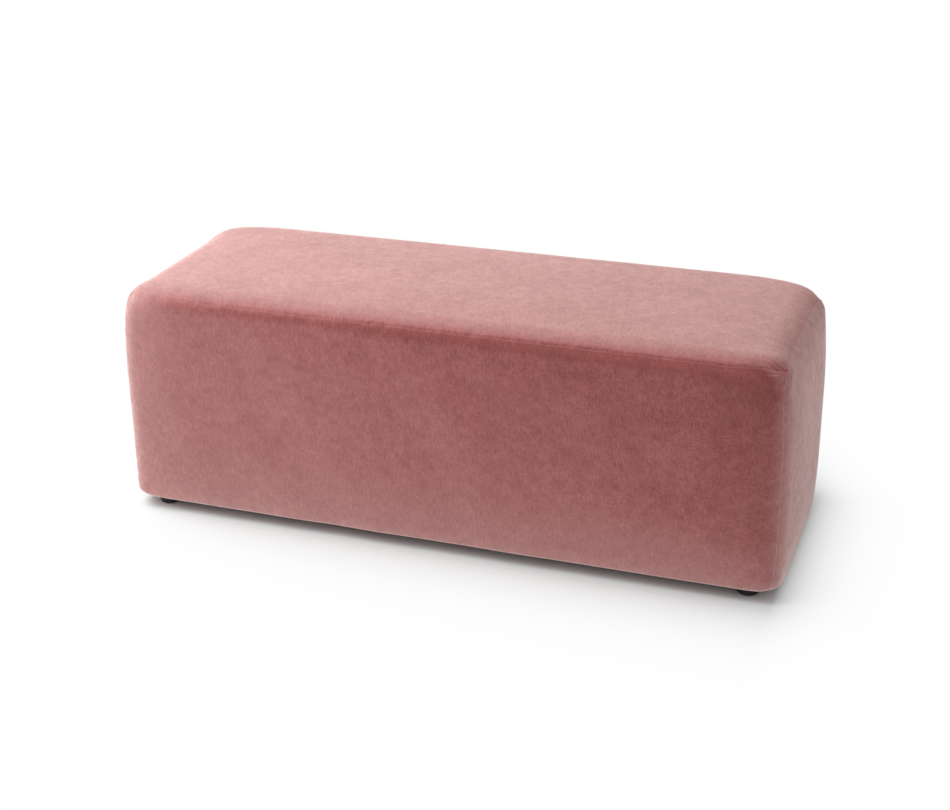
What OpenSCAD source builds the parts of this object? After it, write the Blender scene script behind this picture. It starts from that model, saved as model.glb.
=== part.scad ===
// Long upholstered bench: a soft five-panel sewn cover over wadding and foam, on a boarded timber
// frame that stands on four low round glides. Millimetres, +Z up, +X along the bench, the front
// faces -Y, and the origin is on the floor under the middle of the bench.

/* [Overall] */
// Length over the crowned ends
bench_length = 1200; // [1000:10:1500]
// Depth over the crowned front and back
bench_depth = 430; // [390:5:520]
// Height from the floor to the middle of the seat
bench_height = 435; // [400:5:480]

/* [Cover form] */
// How far the middle of the seat stands over its edges
seat_crown = 8; // [4:1:14]
// How far the front and back swell in the middle
front_crown = 3; // [0:1:8]
// How far the ends swell in the middle
end_crown = 4; // [0:1:8]
// Upright seams, drawn in from the end face
side_seam_in_x = 6; // [3:1:8]
// Upright seams, drawn in from the front or back face
side_seam_in_y = 15; // [9:1:16]
// Long top seams, drawn down from the seat
long_seam_drop = 2; // [0:1:4]
// End top seams, drawn down from the seat
end_seam_drop = 10; // [6:1:12]
// End top seams, drawn in from the end face
end_seam_in = 18; // [12:1:20]
// Top corners, drawn in from the end face
corner_in_x = 9; // [5:1:12]
// Top corners, drawn in from the front or back face
corner_in_y = 34; // [25:1:36]
// Top corners, drawn down from the seat
corner_drop = 6; // [2:1:8]
// Radius with which the seat turns into the top seams
seat_edge_radius = 70; // [55:1:75]
// Radius with which the front and back turn into the long top seams
long_seam_radius = 30; // [20:1:36]
// Radius with which the ends turn into the end top seams
end_seam_radius = 36; // [25:1:40]
// Radius with which the sides turn into the upright seams
side_seam_radius = 40; // [30:1:42]
// Turn of each panel's edge into its seam, in degrees
seam_turn = 35; // [25:1:37]
// Reach along the length over which an edge rounds off
fade_x = 150; // [90:5:180]
// Reach along the depth over which an edge rounds off
fade_y = 140; // [90:5:160]
// Reach down the height over which an edge rounds off
fade_z = 190; // [120:5:220]
// Reach over which a top corner rounds off
fade_corner = 95; // [80:5:120]
// Fullness of an edge round, higher is tighter to the seam
edge_power = 2.4; // [2:0.1:3]
// Fullness of a corner round, higher is tighter to the corner
corner_power = 1.8; // [1.5:0.1:2.4]
// Height of the lower edge round
low_round_z = 8; // [7:0.5:14]
// Depth of the lower edge round, across the underside
low_round_in = 9; // [7:0.5:14]
// Extra height of the lower round at a corner
low_corner_lift = 6; // [0:1:14]
// Extra depth of the lower round at a corner
low_corner_in = 5; // [0:1:12]
// Reach over which a lower corner rounds off
fade_low = 60; // [40:5:90]

/* [Upholstery] */
// Thickness of the velvet with its backing
cover_thick = 1.5; // [1:0.1:2]
// Thickness of the wadding under the velvet
wadding_thick = 3; // [2:0.5:4]
// Foam on the deck, under the top seams
seat_foam = 60; // [40:5:80]
// Foam on the boards, between board and wadding
side_foam = 30; // [28:1:40]
// Free play between one soft layer and the next
layer_gap = 0.3; // [0.2:0.05:0.4]
// Half of the parting between two panels along a seam
seam_play = 0.2; // [0.15:0.05:0.3]
// How far the cover reaches in under the bench
flap_reach = 72; // [70:1:76]
// Thickness of the dust cover under the bench
dust_thick = 0.5; // [0.4:0.1:0.8]
// Border of velvet left showing round the dust cover
dust_border = 40; // [38:1:43]

/* [Timber frame] */
// Width of a rail lying flat, and of a square post
rail_width = 45; // [40:1:50]
// Thickness of a rail
rail_thick = 22; // [20:1:28]
// Thickness of the seat deck
deck_thick = 12; // [9:1:18]
// Thickness of the side boards
board_thick = 3.2; // [3:0.1:6]
// Diameter of a vent hole in the deck
vent_d = 30; // [20:1:40]
// Vent holes along the deck
vent_count = 5; // [3:2:7]

/* [Glides] */
// Diameter of a round glide
glide_d = 44; // [38:1:48]
// Height of a glide, which is the gap under the bench
glide_height = 19; // [16:1:26]
// Middle of a glide from the end of the bench
glide_from_end = 65; // [62:1:68]
// Middle of a glide from the front or back of the bench
glide_from_front = 52; // [50:1:56]
// Rounding of a glide's lower edge
glide_round = 6; // [3:0.5:8]
// Taper of a glide's side, on the radius
glide_taper = 2; // [0:0.5:4]
// Diameter of the recess for the screw head
glide_recess_d = 15; // [13:0.5:18]
// Depth of the recess for the screw head
glide_recess = 8; // [5:0.5:10]

/* [Fastenings] */
// Shank diameter of a frame screw
screw_d = 5; // [4:0.5:5]
// Head diameter of a countersunk frame screw
screw_head_d = 9.6; // [8.5:0.1:10]
// Length of a screw up or down through a rail into a post
post_screw_length = 70; // [50:5:90]
// Length of a screw through a long rail into a cross piece
rail_screw_length = 80; // [65:5:90]
// Length of a screw through the deck
deck_screw_length = 30; // [25:1:32]
// Length of a screw that holds a glide
glide_screw_length = 30; // [25:1:34]
// Shank diameter of a glide screw
glide_screw_d = 4; // [3.5:0.5:4.5]
// Head diameter of a pan-head glide screw
pan_head_d = 9; // [8:0.5:11]
// Height of a pan head
pan_head_h = 3; // [2:0.5:4]
// Play all round a fastening in its hole
fastening_play = 0.1; // [0.05:0.05:0.2]
// Width of a staple's crown
staple_crown = 10; // [8:1:12]
// Thickness of staple wire
staple_wire = 0.7; // [0.6:0.1:0.9]
// Length of a staple's legs
staple_leg = 10; // [8:1:14]
// Step between staples
staple_pitch = 90; // [70:5:110]

/* [Surface grid] */
// Columns of facets along the length
cols_long = 16; // [12:2:20]
// Columns of facets along the depth
cols_short = 8; // [6:2:10]
// Rows of facets below the deck
rows_low = 5; // [4:1:6]
// Rows of facets beside the seat foam
rows_high = 4; // [3:1:5]
// Rows of facets round the lower edge
rows_round = 3; // [2:1:4]

/* [Hidden] */
$fn = 48;
body_z = glide_height + dust_thick + layer_gap;
frame_z = body_z + cover_thick + layer_gap;
wadding_in = cover_thick + layer_gap;
foam_in = wadding_in + wadding_thick + layer_gap;
low_z = body_z + low_round_z;
edge_z = bench_height - seat_crown;
deck_z = edge_z - foam_in - seat_foam;
rail_top_z = deck_z - deck_thick;
post_z = frame_z + rail_thick;
post_height = rail_top_z - rail_thick - post_z;
board_x = bench_length / 2 - end_crown - foam_in - side_foam;
board_y = bench_depth / 2 - front_crown - foam_in - side_foam;
timber_x = board_x - board_thick;
timber_y = board_y - board_thick;
rail_x = timber_x - rail_width / 2;
rail_y = timber_y - rail_width / 2;
cross_y = timber_y - rail_width;
glide_x = bench_length / 2 - glide_from_end;
glide_y = bench_depth / 2 - glide_from_front;
flap_x = bench_length / 2 - flap_reach;
flap_y = bench_depth / 2 - flap_reach;
dust_x = bench_length / 2 - dust_border;
dust_y = bench_depth / 2 - dust_border;
dust_z = glide_height;
post_screw_in = rail_width / 4;
end_screw_x = rail_x + rail_width / 3;
cover_line = 10;
dust_line = 8;
pin_tip = 6;
velvet = [0.72, 0.47, 0.46];
foam_yellow = [0.93, 0.88, 0.66];
wadding_white = [0.94, 0.94, 0.92];
pine = [0.84, 0.69, 0.47];
birch = [0.87, 0.75, 0.56];
hardboard = [0.49, 0.33, 0.2];
black_cloth = [0.12, 0.12, 0.13];
black_plastic = [0.06, 0.06, 0.06];
zinc = [0.76, 0.76, 0.73];

// Which sub-part to draw

// The drawn-in cover. A face stands back from its flat place by a pull that is greatest at a seam
// and fades with the distance from it, and it turns into the seam round a circular arc, so that the
// edges are soft and the corners round off. dz is the nominal distance below a top seam, from the
// even rows, and drop the true one.
function fade(d, reach, power) = pow(max(0, 1 - d / reach), power);
function corner_fade(d, e) = fade(d, fade_corner, corner_power) * fade(e, fade_corner, corner_power);
function seam_arc(d, radius) = radius - sqrt(pow(radius, 2) - pow(max(0, radius * sin(seam_turn) - d), 2));
function swell(t) = pow(1 - pow(abs(t), 3), 2);
function pull_x(dy, dz, drop) = side_seam_in_x * fade(dy, fade_y, edge_power)
    + end_seam_in * fade(dz, fade_z, edge_power)
    + (corner_in_x - side_seam_in_x - end_seam_in) * corner_fade(dy, dz)
    + seam_arc(dy, side_seam_radius) + seam_arc(drop, end_seam_radius);
function pull_y(dx, dz, drop) = side_seam_in_y * fade(dx, fade_x, edge_power)
    + (corner_in_y - side_seam_in_y) * corner_fade(dx, dz)
    + seam_arc(dx, side_seam_radius) + seam_arc(drop, long_seam_radius);
function pull_z(dx, dy) = end_seam_drop * fade(dx, fade_x, edge_power)
    + long_seam_drop * fade(dy, fade_y, edge_power)
    + (corner_drop - end_seam_drop - long_seam_drop) * corner_fade(dx, dy)
    + seam_arc(dx, seat_edge_radius) + seam_arc(dy, seat_edge_radius);

// Grid places: s runs -1 to 1 across a panel, closer towards its seams
function place(i, cols) = -cos(180 * i / cols);
function from_seam(s, span) = (1 - abs(s)) * span / 2;
function nominal_z(j) = j <= rows_low ? low_z + (deck_z - low_z) * j / rows_low
    : deck_z + (edge_z - deck_z) * (j - rows_low) / rows_high;
function below_seam(j) = edge_z - nominal_z(j);
function up_share(j) = 2 * (nominal_z(j) - low_z) / (edge_z - low_z) - 1;
function row_z(j, foot_z, seam_z) = j <= rows_low ? foot_z + (deck_z - foot_z) * j / rows_low
    : deck_z + (seam_z - deck_z) * (j - rows_low) / rows_high;
rows_side = rows_low + rows_high;
wall_below = edge_z - low_z;

// Points of each surface, a depth k inside the velvet's outer face and a play g short of its seams
function half_x(k) = bench_length / 2 - end_crown - k;
function half_y(k) = bench_depth / 2 - front_crown - k;
function corner_lift(d) = low_corner_lift * fade(d, fade_low, corner_power);
function round_z(d, k) = low_round_z + corner_lift(d) - k;
function round_in(d, k) = low_round_in + low_corner_in * fade(d, fade_low, corner_power) - k;
function wall_z(j, d, seam_z) = row_z(j, low_z + corner_lift(d), seam_z);
function corner_drop_at(j, k, g) =
    let(seam_z = edge_z - k - g - pull_z(0, 0)) seam_z - wall_z(j, 0, seam_z);
function long_point(s, j, k, g) =
    let(dx = from_seam(s, bench_length), dz = below_seam(j), seam_z = edge_z - k - g - pull_z(dx, 0),
        z = wall_z(j, dx, seam_z))
    [s * (half_x(k) - pull_x(0, dz, corner_drop_at(j, k, g)) - g),
     -(half_y(k) - pull_y(dx, dz, seam_z - z) + front_crown * swell(s) * swell(up_share(j))), z];
function end_point(s, j, k, g) =
    let(dy = from_seam(s, bench_depth), dz = below_seam(j), seam_z = edge_z - k - g - pull_z(0, dy),
        z = wall_z(j, dy, seam_z))
    [half_x(k) - pull_x(dy, dz, seam_z - z) + end_crown * swell(s) * swell(up_share(j)),
     s * (half_y(k) - pull_y(0, dz, corner_drop_at(j, k, g)) - g), z];
function seat_point(s, t, k, g) =
    let(dx = from_seam(s, bench_length), dy = from_seam(t, bench_depth))
    [s * (half_x(k) - pull_x(dy, 0, 0) - g), t * (half_y(k) - pull_y(dx, 0, 0) - g),
     edge_z - k - pull_z(dx, dy) + seat_crown * swell(s) * swell(t)];
// Lower edge: the foot of a side panel carried round by angle a
function long_under(s, a, k, g) =
    let(dx = from_seam(s, bench_length), in = round_in(dx, k) * (1 - cos(a)))
    [s * (half_x(k) - pull_x(0, wall_below, wall_below) - in - g),
     -(half_y(k) - pull_y(dx, wall_below, wall_below) - in),
     low_z + corner_lift(dx) - round_z(dx, k) * sin(a)];
function end_under(s, a, k, g) =
    let(dy = from_seam(s, bench_depth), in = round_in(dy, k) * (1 - cos(a)))
    [half_x(k) - pull_x(dy, wall_below, wall_below) - in,
     s * (half_y(k) - pull_y(0, wall_below, wall_below) - in - g),
     low_z + corner_lift(dy) - round_z(dy, k) * sin(a)];

// Closed shell between an outer and an inner grid of points, both given row by row. A rim facet is
// split along its shorter diagonal, so that the two sides of a seam are split alike.
module shell(outer, inner) {
    rows = len(outer) - 1;
    cols = len(outer[0]) - 1;
    count = (rows + 1) * (cols + 1);
    points = [for (row = concat(outer, inner)) each row];
    function at(i, j) = j * (cols + 1) + i;
    function split(q) = norm(points[q[0]] - points[q[2]]) <= norm(points[q[1]] - points[q[3]])
        ? q : [q[1], q[2], q[3], q[0]];
    faces = concat(
        [for (j = [0:rows - 1], i = [0:cols - 1]) [at(i, j), at(i, j + 1), at(i + 1, j + 1), at(i + 1, j)]],
        [for (j = [0:rows - 1], i = [0:cols - 1])
            [count + at(i, j), count + at(i + 1, j), count + at(i + 1, j + 1), count + at(i, j + 1)]]);
    rims = concat(
        [for (i = [0:cols - 1]) [at(i, 0), at(i + 1, 0), count + at(i + 1, 0), count + at(i, 0)]],
        [for (i = [0:cols - 1])
            [at(i + 1, rows), at(i, rows), count + at(i, rows), count + at(i + 1, rows)]],
        [for (j = [0:rows - 1]) [at(0, j + 1), at(0, j), count + at(0, j), count + at(0, j + 1)]],
        [for (j = [0:rows - 1])
            [at(cols, j), at(cols, j + 1), count + at(cols, j + 1), count + at(cols, j)]]);
    polyhedron(points = points,
        faces = [for (q = concat(faces, [for (r = rims) split(r)])) each [[q[0], q[1], q[2]], [q[0], q[2], q[3]]]]);
}
long_places = [for (i = [0:cols_long]) place(i, cols_long)];
end_places = [for (i = [0:cols_short]) place(i, cols_short)];
function seat_grid(k, g) = [for (t = end_places) [for (s = long_places) seat_point(s, t, k, g)]];
function long_grid(k, g, top) = [for (j = [0:top]) [for (s = long_places) long_point(s, j, k, g)]];
function end_grid(k, g, top) = [for (j = [0:top]) [for (s = end_places) end_point(s, j, k, g)]];
function long_round(k, g) =
    [for (r = [rows_round:-1:1]) [for (s = long_places) long_under(s, 90 * r / rows_round, k, g)]];
function end_round(k, g) =
    [for (r = [rows_round:-1:1]) [for (s = end_places) end_under(s, 90 * r / rows_round, k, g)]];
function long_flap(k, g) = [[for (s = long_places) [s * (flap_x - g), -flap_y, body_z + k]]];
function end_flap(k, g) = [[for (s = end_places) [flap_x, s * (flap_y - g), body_z + k]]];
function turned(grid) = [for (r = [len(grid) - 1:-1:0]) [for (p = grid[r]) [p.x, -p.y, p.z]]];

// Fastenings
module countersunk(length, play) {
    rotate_extrude() polygon([[0, play > 0 ? play : 0], [screw_head_d / 2 + play, play > 0 ? play : 0],
        [screw_head_d / 2 + play, 0],
        [screw_d / 2 + play, -(screw_head_d - screw_d) / 2],
        [screw_d / 2 + play, -(length - pin_tip)], [0, -length]]);
}
module pan_screw(play) {
    rotate_extrude() polygon([[0, -pan_head_h], [pan_head_d / 2 - 1, -pan_head_h],
        [pan_head_d / 2, -pan_head_h + 1], [pan_head_d / 2, 0], [glide_screw_d / 2 + play, 0],
        [glide_screw_d / 2 + play, glide_screw_length - pin_tip], [0, glide_screw_length]]);
}
module each_post() {
    for (x = [-rail_x, 0, rail_x], y = [-rail_y, rail_y])
        translate([x + (x > 0 ? -1 : 1) * post_screw_in, y - sign(y) * post_screw_in, 0]) children();
}
module post_screw_set(play) {
    each_post() {
        translate([0, 0, rail_top_z]) countersunk(post_screw_length, play);
        translate([0, 0, frame_z]) rotate([180, 0, 0]) countersunk(post_screw_length, play);
    }
}
module rail_screw_set(play) {
    for (x = [-end_screw_x, 0, end_screw_x], z = [frame_z + rail_thick / 2, rail_top_z - rail_thick / 2]) {
        translate([x, timber_y, z]) rotate([-90, 0, 0]) countersunk(rail_screw_length, play);
        translate([x, -timber_y, z]) rotate([90, 0, 0]) countersunk(rail_screw_length, play);
    }
}
module deck_screw_set(play) {
    translate([0, 0, deck_z]) {
        for (k = [-2.5, -1.5, -0.5, 0.5, 1.5, 2.5], y = [-rail_y, rail_y])
            translate([k * rail_x / 3, y, 0]) countersunk(deck_screw_length, play);
        for (x = [-rail_x, 0, rail_x]) translate([x, 0, 0]) countersunk(deck_screw_length, play);
    }
}
module each_glide() {
    for (x = [-glide_x, glide_x], y = [-glide_y, glide_y]) translate([x, y, 0]) children();
}
module glide_screw_set(play) {
    each_glide() translate([0, 0, glide_recess]) pan_screw(play);
}
module staple(z, play) {
    for (side = [-1, 1])
        translate([side * (staple_crown - staple_wire) / 2 - staple_wire / 2 - play, -staple_wire / 2 - play, z])
            cube([staple_wire + 2 * play, staple_wire + 2 * play, staple_leg + play]);
    translate([-staple_crown / 2 - play, -staple_wire / 2 - play, z])
        cube([staple_crown + 2 * play, staple_wire + 2 * play, staple_wire + play]);
}
// Staples step along each side between the glides, the same for the wires and for their slots
function steps(span) = [for (n = [0:floor(span / staple_pitch)]) (n - floor(span / staple_pitch) / 2) * staple_pitch];
module staple_ring(line_x, line_y, z, play) {
    for (x = steps(2 * (glide_x - glide_d / 2 - staple_crown)), y = [-line_y, line_y])
        translate([x, y, 0]) staple(z, play);
    for (x = [-line_x, line_x], y = steps(2 * (glide_y - glide_d / 2 - staple_crown)))
        translate([x, y, 0]) rotate([0, 0, 90]) staple(z, play);
}
module cover_staple_set(play) {
    staple_ring(flap_x + cover_line, flap_y + cover_line, body_z - play, play);
}
module dust_staple_set(play) {
    staple_ring(dust_x - dust_line, dust_y - dust_line, dust_z - staple_wire - play, play);
}
module under_fastenings(play) {
    glide_screw_set(play);
    cover_staple_set(play);
    dust_staple_set(play);
}

// Cover
module cover_long() {
    difference() {
        shell(concat(long_flap(0, seam_play), long_round(0, seam_play), long_grid(0, seam_play, rows_side)),
            concat(long_flap(cover_thick, seam_play), long_round(cover_thick, seam_play),
                long_grid(cover_thick, seam_play, rows_side)));
        under_fastenings(fastening_play);
    }
}
module cover_end() {
    difference() {
        shell(concat(end_flap(0, seam_play), end_round(0, seam_play), end_grid(0, seam_play, rows_side)),
            concat(end_flap(cover_thick, seam_play), end_round(cover_thick, seam_play),
                end_grid(cover_thick, seam_play, rows_side)));
        under_fastenings(fastening_play);
    }
}
module cover_top() color(velvet) shell(seat_grid(0, seam_play), seat_grid(cover_thick, seam_play));
module cover_front() color(velvet) cover_long();
module cover_back() color(velvet) rotate([0, 0, 180]) cover_long();
module cover_right_end() color(velvet) cover_end();
module cover_left_end() color(velvet) rotate([0, 0, 180]) cover_end();

// Wadding: one sheet over front, seat and back, and a piece on each end
function long_edge(k, g) = [[for (s = long_places) long_under(s, 90, k, g)]];
function end_edge(k, g) = [[for (s = end_places) end_under(s, 90, k, g)]];
function wrap_grid(k) =
    let(front = concat(long_edge(k, seam_play), [for (row = long_grid(k, 0, rows_side)) row]),
        seat = seat_grid(k, 0))
    concat(front, [for (r = [1:len(seat) - 2]) seat[r]], turned(front));
module wadding_wrap() color(wadding_white)
    shell(wrap_grid(wadding_in), wrap_grid(wadding_in + wadding_thick));
module wadding_end() {
    shell(concat(end_edge(wadding_in, seam_play), end_grid(wadding_in, seam_play, rows_side)),
        concat(end_edge(wadding_in + wadding_thick, seam_play),
            end_grid(wadding_in + wadding_thick, seam_play, rows_side)));
}
module wadding_right_end() color(wadding_white) wadding_end();
module wadding_left_end() color(wadding_white) rotate([0, 0, 180]) wadding_end();

// Foam: the seat pad lies on the deck, and four pads are glued to the boards
module foam_seat() color(foam_yellow) {
    base = [for (t = end_places) [for (s = long_places)
        let(dx = from_seam(s, bench_length), dy = from_seam(t, bench_depth), dz = below_seam(rows_low))
        [s * (half_x(foam_in) - pull_x(dy, dz, dz) - seam_play),
            t * (half_y(foam_in) - pull_y(dx, dz, dz) - seam_play), deck_z]]];
    shell(seat_grid(foam_in, seam_play), base);
}
module foam_long() {
    face = concat(long_edge(foam_in, seam_play), long_grid(foam_in, seam_play, rows_low));
    back = [for (row = face) [for (i = [0:cols_long]) [long_places[i] * (board_x - seam_play), -board_y, row[i].z]]];
    shell(face, back);
}
module foam_end() {
    face = concat(end_edge(foam_in, seam_play), end_grid(foam_in, seam_play, rows_low));
    back = [for (row = face) [for (i = [0:cols_short]) [board_x, end_places[i] * (board_y - seam_play), row[i].z]]];
    shell(face, back);
}
module foam_front() color(foam_yellow) foam_long();
module foam_back() color(foam_yellow) rotate([0, 0, 180]) foam_long();
module foam_right_end() color(foam_yellow) foam_end();
module foam_left_end() color(foam_yellow) rotate([0, 0, 180]) foam_end();

// Deck and side boards
module deck_board() color(birch) difference() {
    translate([-board_x, -board_y, rail_top_z]) cube([2 * board_x, 2 * board_y, deck_thick]);
    deck_screw_set(fastening_play);
    for (n = [0:vent_count - 1]) let(step = 2 * rail_x / (vent_count + 1))
        translate([(n - (vent_count - 1) / 2) * step + (n == (vent_count - 1) / 2 ? rail_width : 0), 0, 0])
            translate([0, 0, rail_top_z - 1]) cylinder(d = vent_d, h = deck_thick + 2);
}
module board_front() color(hardboard)
    translate([-board_x, -board_y, frame_z]) cube([2 * board_x, board_thick, rail_top_z - frame_z]);
module board_back() color(hardboard) rotate([0, 0, 180])
    translate([-board_x, -board_y, frame_z]) cube([2 * board_x, board_thick, rail_top_z - frame_z]);
module board_right_end() color(hardboard)
    translate([timber_x, -timber_y, frame_z]) cube([board_thick, 2 * timber_y, rail_top_z - frame_z]);
module board_left_end() color(hardboard)
    translate([-board_x, -timber_y, frame_z]) cube([board_thick, 2 * timber_y, rail_top_z - frame_z]);

// Timber
module long_rail(y, z) color(pine) difference() {
    translate([-timber_x, y - rail_width / 2, z]) cube([2 * timber_x, rail_width, rail_thick]);
    post_screw_set(fastening_play);
    rail_screw_set(fastening_play);
    if (z > frame_z) deck_screw_set(fastening_play);
    else under_fastenings(fastening_play);
}
module cross_piece(x, z) color(pine) difference() {
    translate([x - rail_width / 2, -cross_y, z]) cube([rail_width, 2 * cross_y, rail_thick]);
    rail_screw_set(fastening_play);
    if (z > frame_z) deck_screw_set(fastening_play);
    else under_fastenings(fastening_play);
}
module post(x, y) color(pine) difference() {
    translate([x - rail_width / 2, y - rail_width / 2, post_z]) cube([rail_width, rail_width, post_height]);
    post_screw_set(fastening_play);
}
module rail_top_front() long_rail(-rail_y, rail_top_z - rail_thick);
module rail_top_back() long_rail(rail_y, rail_top_z - rail_thick);
module rail_bottom_front() long_rail(-rail_y, frame_z);
module rail_bottom_back() long_rail(rail_y, frame_z);
module end_rail_top_left() cross_piece(-rail_x, rail_top_z - rail_thick);
module end_rail_top_right() cross_piece(rail_x, rail_top_z - rail_thick);
module end_rail_bottom_left() cross_piece(-rail_x, frame_z);
module end_rail_bottom_right() cross_piece(rail_x, frame_z);
module cross_rail_top() cross_piece(0, rail_top_z - rail_thick);
module cross_rail_bottom() cross_piece(0, frame_z);
module post_front_left() post(-rail_x, -rail_y);
module post_front_middle() post(0, -rail_y);
module post_front_right() post(rail_x, -rail_y);
module post_back_left() post(-rail_x, rail_y);
module post_back_middle() post(0, rail_y);
module post_back_right() post(rail_x, rail_y);

// Dust cover and glides
module dust_cover() color(black_cloth) difference() {
    translate([-dust_x, -dust_y, dust_z]) cube([2 * dust_x, 2 * dust_y, dust_thick]);
    glide_screw_set(fastening_play);
    dust_staple_set(fastening_play);
}
module glide() {
    foot = glide_d / 2 - glide_taper;
    rotate_extrude(angle = 360) difference() {
        union() {
            translate([0, glide_round]) polygon([[0, 0], [foot, 0], [glide_d / 2, glide_height - glide_round - 1],
                [glide_d / 2 - 1, glide_height - glide_round], [0, glide_height - glide_round]]);
            square([foot - glide_round, glide_round]);
            intersection() {
                translate([foot - glide_round, glide_round]) circle(r = glide_round);
                square([foot, glide_round]);
            }
        }
        square([glide_recess_d / 2, glide_recess]);
        square([glide_screw_d / 2 + fastening_play, glide_height]);
    }
}
module glide_front_left() color(black_plastic) translate([-glide_x, -glide_y, 0]) glide();
module glide_front_right() color(black_plastic) translate([glide_x, -glide_y, 0]) glide();
module glide_back_left() color(black_plastic) translate([-glide_x, glide_y, 0]) glide();
module glide_back_right() color(black_plastic) translate([glide_x, glide_y, 0]) glide();

// Fastenings as placed
module glide_screws() color(zinc) glide_screw_set(0);
module post_screws() color(zinc) post_screw_set(0);
module rail_screws() color(zinc) rail_screw_set(0);
module deck_screws() color(zinc) deck_screw_set(0);
module cover_staples() color(zinc) cover_staple_set(0);
module dust_staples() color(zinc) dust_staple_set(0);

cover_top();
cover_front();
cover_back();
cover_left_end();
cover_right_end();
wadding_wrap();
wadding_left_end();
wadding_right_end();
foam_seat();
foam_front();
foam_back();
foam_left_end();
foam_right_end();
deck_board();
board_front();
board_back();
board_left_end();
board_right_end();
rail_top_front();
rail_top_back();
rail_bottom_front();
rail_bottom_back();
end_rail_top_left();
end_rail_top_right();
end_rail_bottom_left();
end_rail_bottom_right();
cross_rail_top();
cross_rail_bottom();
post_front_left();
post_front_middle();
post_front_right();
post_back_left();
post_back_middle();
post_back_right();
dust_cover();
glide_front_left();
glide_front_right();
glide_back_left();
glide_back_right();
glide_screws();
post_screws();
rail_screws();
deck_screws();
cover_staples();
dust_staples();
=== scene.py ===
import math

import bpy
import numpy as np
from mathutils import Matrix, Vector


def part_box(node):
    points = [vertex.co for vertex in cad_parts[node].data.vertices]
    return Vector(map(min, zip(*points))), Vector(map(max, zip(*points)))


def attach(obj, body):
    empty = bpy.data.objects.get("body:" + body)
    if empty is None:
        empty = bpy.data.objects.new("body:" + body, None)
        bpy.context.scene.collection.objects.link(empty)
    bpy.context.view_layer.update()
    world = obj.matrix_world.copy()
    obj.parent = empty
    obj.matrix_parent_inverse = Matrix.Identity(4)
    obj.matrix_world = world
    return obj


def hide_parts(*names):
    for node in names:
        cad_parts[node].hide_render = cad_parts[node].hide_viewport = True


bl_info = {
    "name": "Long upholstered bench",
    "version": (1, 0, 0),
    "blender": (4, 5, 0),
    "location": "3D View > Sidebar > Bench",
    "description": "Makes the velvet cover, padding, glides and finishes of a long bench",
    "category": "Add Mesh",
}

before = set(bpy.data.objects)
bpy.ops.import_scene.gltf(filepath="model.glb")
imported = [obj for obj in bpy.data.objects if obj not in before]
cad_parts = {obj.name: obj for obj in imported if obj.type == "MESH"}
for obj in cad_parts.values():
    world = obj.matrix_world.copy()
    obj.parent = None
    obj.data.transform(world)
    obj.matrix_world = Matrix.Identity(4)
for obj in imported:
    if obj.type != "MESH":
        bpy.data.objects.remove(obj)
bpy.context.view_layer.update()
MM = 0.001
# Steps of a grid: the first one at a seam, its growth with the distance, and the widest
VELVET_STEPS = 0.5 * MM, 0.08
PAD_STEPS = 3 * MM, 0.1, 9 * MM
SKIN_STEPS = 5 * MM, 0.06, 16 * MM
HEM_STEPS = 1 * MM, 0.3, 12 * MM
# Sides: name, ending of its nodes' names, kind of panel, and whether that is turned half round
SIDES = (("front", "front", "long", False), ("back", "back", "long", True),
         ("right", "right_end", "end", False), ("left", "left_end", "end", True))
SEED = {"seat": 11, "front": 21, "back": 31, "right": 41, "left": 51}
# Seeds of the gathers along the long, the end and the upright seams
LONG_SEAM, END_SEAM, UPRIGHT_SEAM = 5, 6, 7
# Finishes made so far, and how the cover settled
MADE, SETTLED = {}, {}


# Properties
def size(note, millimetres):
    """A length property, given in millimetres and kept in metres."""
    return bpy.props.FloatProperty(description=note, default=millimetres * MM, min=0, unit="LENGTH",
                                   subtype="DISTANCE", precision=4)


def share(note, value, most=1.0):
    """A plain number property from 0 to most."""
    return bpy.props.FloatProperty(description=note, default=value, min=0, max=most)


def turn(note, degrees):
    """An angle property, given in degrees."""
    return bpy.props.FloatProperty(description=note, default=math.radians(degrees), subtype="ANGLE")


def tone(note, value):
    """A colour property, given as written in a colour picker, 0 to 255 a channel."""
    linear = [((c / 255 + 0.055) / 1.055) ** 2.4 for c in value]
    return bpy.props.FloatVectorProperty(description=note, default=linear, size=3, min=0, max=1,
                                         subtype="COLOR")


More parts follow.
